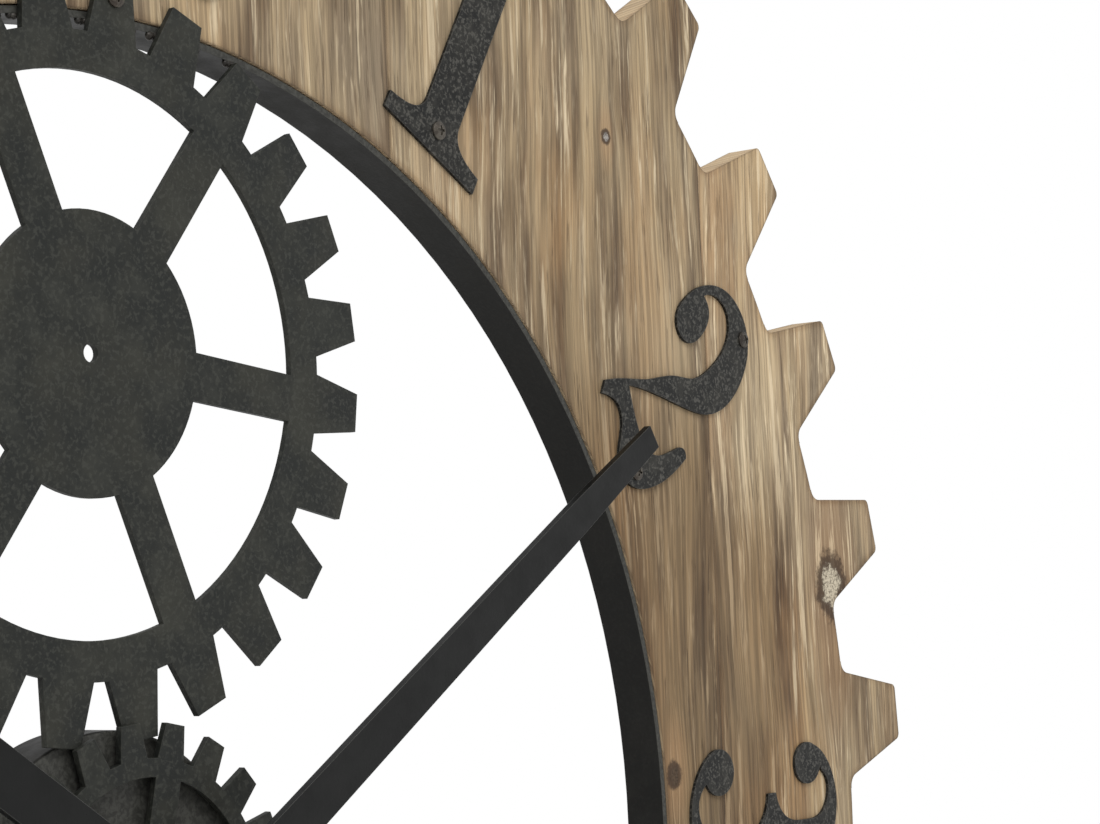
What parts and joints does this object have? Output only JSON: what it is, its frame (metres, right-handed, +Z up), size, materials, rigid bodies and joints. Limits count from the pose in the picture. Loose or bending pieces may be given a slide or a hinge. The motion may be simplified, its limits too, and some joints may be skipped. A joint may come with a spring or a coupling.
{
  "type": "wall clock, open gear style",
  "caption": "Round open wall clock: a toothed ring of fir boards with screwed metal numerals, open steel gear plates, two hands and a battery movement in a cup.",
  "frame": {"origin": "the hands' axis on the plane of the wall, at the middle of the movement case's back", "axes": "+X to the viewer's right, +Z up, +Y into the wall along the hands' axis"},
  "size_m": [0.7986, 0.0465, 0.7998],
  "materials": {
    "fir_wood": "weathered",
    "hammered_steel": "hammered",
    "dark_steel": "mottled",
    "blackened_steel": "satin",
    "screw_steel": "worn",
    "bright_steel": "plated",
    "felt_pad": "matte",
    "black_plastic": "fine texture",
    "white_plastic": "moulded",
    "brass_bush": "turned",
    "copper_wire": "enamelled",
    "green_board": "masked",
    "cell_jacket": "satin",
    "black_hand": "satin"
  },
  "bodies": {
    "clock_frame": {"board_left": "fir_wood", "board_lower_left": "fir_wood", "board_lower_middle": "fir_wood", "board_right": "fir_wood", "board_right_inner": "fir_wood", "board_upper_left": "fir_wood", "board_upper_middle": "fir_wood", "case_back": "black_plastic", "case_front": "black_plastic", "centre_gear": "dark_steel", "circuit_board": "green_board", "coil_bobbin": "white_plastic", "coil_winding": "copper_wire", "contact_negative": "bright_steel", "contact_positive": "bright_steel", "gear_screws": "screw_steel", "hanger_plates": "bright_steel", "hanger_screws": "screw_steel", "hex_nut": "bright_steel", "hoop": "blackened_steel", "hoop_tabs": "blackened_steel", "large_gear": "dark_steel", "lower_gear": "dark_steel", "movement_cup": "blackened_steel", "numeral_eight": "hammered_steel", "numeral_eleven": "hammered_steel", "numeral_five": "hammered_steel", "numeral_four": "hammered_steel", "numeral_nine": "hammered_steel", "numeral_one": "hammered_steel", "numeral_screws": "screw_steel", "numeral_seven": "hammered_steel", "numeral_six": "hammered_steel", "numeral_ten": "hammered_steel", "numeral_three": "hammered_steel", "numeral_twelve": "hammered_steel", "numeral_two": "hammered_steel", "quartz_crystal": "bright_steel", "small_gear": "dark_steel", "spacer_washer": "bright_steel", "stator": "bright_steel", "tab_screws": "screw_steel", "threaded_bush": "brass_bush", "wall_pads": "felt_pad"},
    "minute_group": {"minute_arbor": "bright_steel", "minute_hand": "black_hand", "minute_hand_bush": "brass_bush", "hand_cap_nut": "bright_steel"},
    "hour_group": {"hour_wheel": "white_plastic", "hour_hand": "black_hand", "hour_hand_bush": "brass_bush"},
    "motion_group": {"motion_wheel": "white_plastic"},
    "setting_group": {"setting_knob": "white_plastic"},
    "second_group": {"second_wheel": "white_plastic"},
    "third_group": {"third_wheel": "white_plastic"},
    "centre_group": {"centre_wheel": "white_plastic"},
    "intermediate_group": {"intermediate_wheel": "white_plastic"},
    "rotor_group": {"rotor": "bright_steel"},
    "battery_group": {"battery": "cell_jacket"}
  },
  "joints": [
    {"name": "minute_spin", "type": "hinge", "parent": "clock_frame", "child": "minute_group", "pos_m": [0, 0, 0], "axis": [0, 1, 0], "continuous": true},
    {"name": "hour_spin", "type": "hinge", "parent": "clock_frame", "child": "hour_group", "pos_m": [0, 0, 0], "axis": [0, 1, 0], "continuous": true},
    {"name": "motion_spin", "type": "hinge", "parent": "clock_frame", "child": "motion_group", "pos_m": [-0.009, 0, 0], "axis": [0, 1, 0], "continuous": true},
    {"name": "setting_spin", "type": "hinge", "parent": "clock_frame", "child": "setting_group", "pos_m": [-0.014, 0, 0.00703], "axis": [0, 1, 0], "continuous": true},
    {"name": "second_spin", "type": "hinge", "parent": "clock_frame", "child": "second_group", "pos_m": [0.00958, 0, 0.01369], "axis": [0, 1, 0], "continuous": true},
    {"name": "third_spin", "type": "hinge", "parent": "clock_frame", "child": "third_group", "pos_m": [0.00958, 0, 0.00349], "axis": [0, 1, 0], "continuous": true},
    {"name": "centre_spin", "type": "hinge", "parent": "clock_frame", "child": "centre_group", "pos_m": [0, 0, 0], "axis": [0, 1, 0], "continuous": true},
    {"name": "intermediate_spin", "type": "hinge", "parent": "clock_frame", "child": "intermediate_group", "pos_m": [0.00352, 0, 0.01719], "axis": [0, 1, 0], "continuous": true},
    {"name": "rotor_spin", "type": "hinge", "parent": "clock_frame", "child": "rotor_group", "pos_m": [-0.00245, 0, 0.01771], "axis": [0, 1, 0], "continuous": true},
    {"name": "battery_slide", "type": "slide", "parent": "clock_frame", "child": "battery_group", "axis": [0, 1, 0], "range_m": [0, 0.017]}
  ],
  "couplings": [
    {"joint": "hour_spin", "follows": "minute_spin", "ratio": 0.083333},
    {"joint": "motion_spin", "follows": "minute_spin", "ratio": -0.33333},
    {"joint": "setting_spin", "follows": "minute_spin", "ratio": 1.2},
    {"joint": "third_spin", "follows": "second_spin", "ratio": -0.125},
    {"joint": "centre_spin", "follows": "second_spin", "ratio": 0.016667},
    {"joint": "intermediate_spin", "follows": "second_spin", "ratio": -6},
    {"joint": "rotor_spin", "follows": "second_spin", "ratio": 30}
  ]
}
